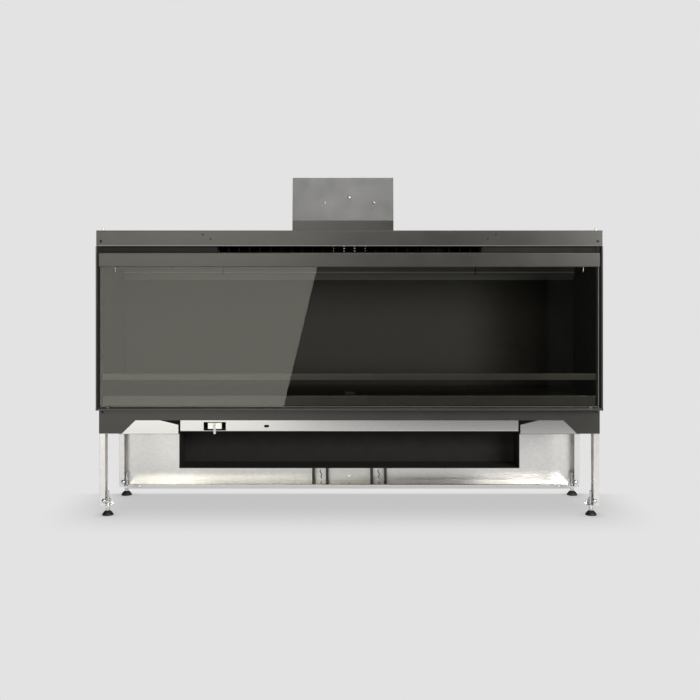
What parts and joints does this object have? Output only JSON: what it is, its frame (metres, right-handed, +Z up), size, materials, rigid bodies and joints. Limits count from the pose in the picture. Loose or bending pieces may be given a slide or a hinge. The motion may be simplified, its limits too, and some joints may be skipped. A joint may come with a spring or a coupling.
{
  "type": "electric fireplace",
  "caption": "Wide built-in electric fireplace: black steel casing with a glass front and heater outlet, standing on galvanised legs with levelling feet.",
  "frame": {"origin": "on the floor under the centre of the object", "axes": "+X to the right seen from the front, +Y from the front to the back, +Z up"},
  "size_m": [1.777, 0.4, 1.209],
  "materials": {
    "casing_paint": "satin black powder coat",
    "galvanised": "galvanised sheet",
    "zinc": "bright zinc plate",
    "glass": "clear polished",
    "black_plastic": "matte",
    "white_plastic": "matte",
    "gasket": "soft black",
    "diffuser": "frosted",
    "aluminium": "dull grey"
  },
  "bodies": {
    "casing": {"base_pan": "casing_paint", "blower_motor": "zinc", "bottom_rail": "casing_paint", "cable_gland": "black_plastic", "cable_hooks": "casing_paint", "case_screws": "zinc", "casing_back": "casing_paint", "casing_floor": "casing_paint", "casing_side_left": "casing_paint", "casing_side_right": "casing_paint", "chamber_back": "casing_paint", "chamber_ceiling": "casing_paint", "chamber_side_left": "casing_paint", "chamber_side_right": "casing_paint", "clamp_bolts": "zinc", "floor_sensor": "black_plastic", "floor_tray": "casing_paint", "glass_clips": "aluminium", "glass_gasket": "gasket", "guard_bar": "casing_paint", "heater_element": "aluminium", "heater_housing": "casing_paint", "hood": "casing_paint", "latch_rail": "galvanised", "latch_strip": "galvanised", "leg_front_left": "galvanised", "leg_front_right": "galvanised", "leg_gussets": "galvanised", "leg_rear_left": "galvanised", "leg_rear_right": "galvanised", "light_diffusers": "diffuser", "light_housing": "aluminium", "lower_panel": "casing_paint", "outlet_blanks": "casing_paint", "pan_supports": "casing_paint", "rear_cross_rail": "galvanised", "rear_panel": "galvanised", "service_box": "casing_paint", "side_frame_left": "casing_paint", "side_frame_right": "casing_paint", "top_box": "casing_paint", "top_box_screws": "zinc"},
    "glass": {"front_glass": "glass", "glass_trim": "casing_paint", "glass_pins": "zinc"},
    "latch": {"latch_block": "white_plastic", "latch_tab": "zinc"},
    "blower": {"blower_wheel": "black_plastic"},
    "bracket_front_left": {"foot_bracket_front_left": "galvanised"},
    "foot_front_left": {"foot_pad_front_left": "black_plastic", "foot_spindle_front_left": "zinc"},
    "bracket_front_right": {"foot_bracket_front_right": "galvanised"},
    "foot_front_right": {"foot_pad_front_right": "black_plastic", "foot_spindle_front_right": "zinc"},
    "bracket_rear_left": {"foot_bracket_rear_left": "galvanised"},
    "foot_rear_left": {"foot_pad_rear_left": "black_plastic", "foot_spindle_rear_left": "zinc"},
    "bracket_rear_right": {"foot_bracket_rear_right": "galvanised"},
    "foot_rear_right": {"foot_pad_rear_right": "black_plastic", "foot_spindle_rear_right": "zinc"}
  },
  "joints": [
    {"name": "glass_tilt", "type": "hinge", "parent": "casing", "child": "glass", "pos_m": [0, -0.2, 0.391], "axis": [1, 0, 0], "range_deg": [0, 20]},
    {"name": "latch_slide", "type": "slide", "parent": "casing", "child": "latch", "axis": [1, 0, 0], "range_m": [-0.015, 0.015]},
    {"name": "blower_spin", "type": "hinge", "parent": "casing", "child": "blower", "pos_m": [0, -0.05, 0.945], "axis": [1, 0, 0], "continuous": true},
    {"name": "leg_extension_front_left", "type": "slide", "parent": "casing", "child": "bracket_front_left", "axis": [0, 0, -1], "range_m": [0, 0.06]},
    {"name": "foot_levelling_front_left", "type": "slide", "parent": "bracket_front_left", "child": "foot_front_left", "axis": [0, 0, -1], "range_m": [0, 0.025]},
    {"name": "leg_extension_front_right", "type": "slide", "parent": "casing", "child": "bracket_front_right", "axis": [0, 0, -1], "range_m": [0, 0.06]},
    {"name": "foot_levelling_front_right", "type": "slide", "parent": "bracket_front_right", "child": "foot_front_right", "axis": [0, 0, -1], "range_m": [0, 0.025]},
    {"name": "leg_extension_rear_left", "type": "slide", "parent": "casing", "child": "bracket_rear_left", "axis": [0, 0, -1], "range_m": [0, 0.06]},
    {"name": "foot_levelling_rear_left", "type": "slide", "parent": "bracket_rear_left", "child": "foot_rear_left", "axis": [0, 0, -1], "range_m": [0, 0.025]},
    {"name": "leg_extension_rear_right", "type": "slide", "parent": "casing", "child": "bracket_rear_right", "axis": [0, 0, -1], "range_m": [0, 0.06]},
    {"name": "foot_levelling_rear_right", "type": "slide", "parent": "bracket_rear_right", "child": "foot_rear_right", "axis": [0, 0, -1], "range_m": [0, 0.025]}
  ]
}
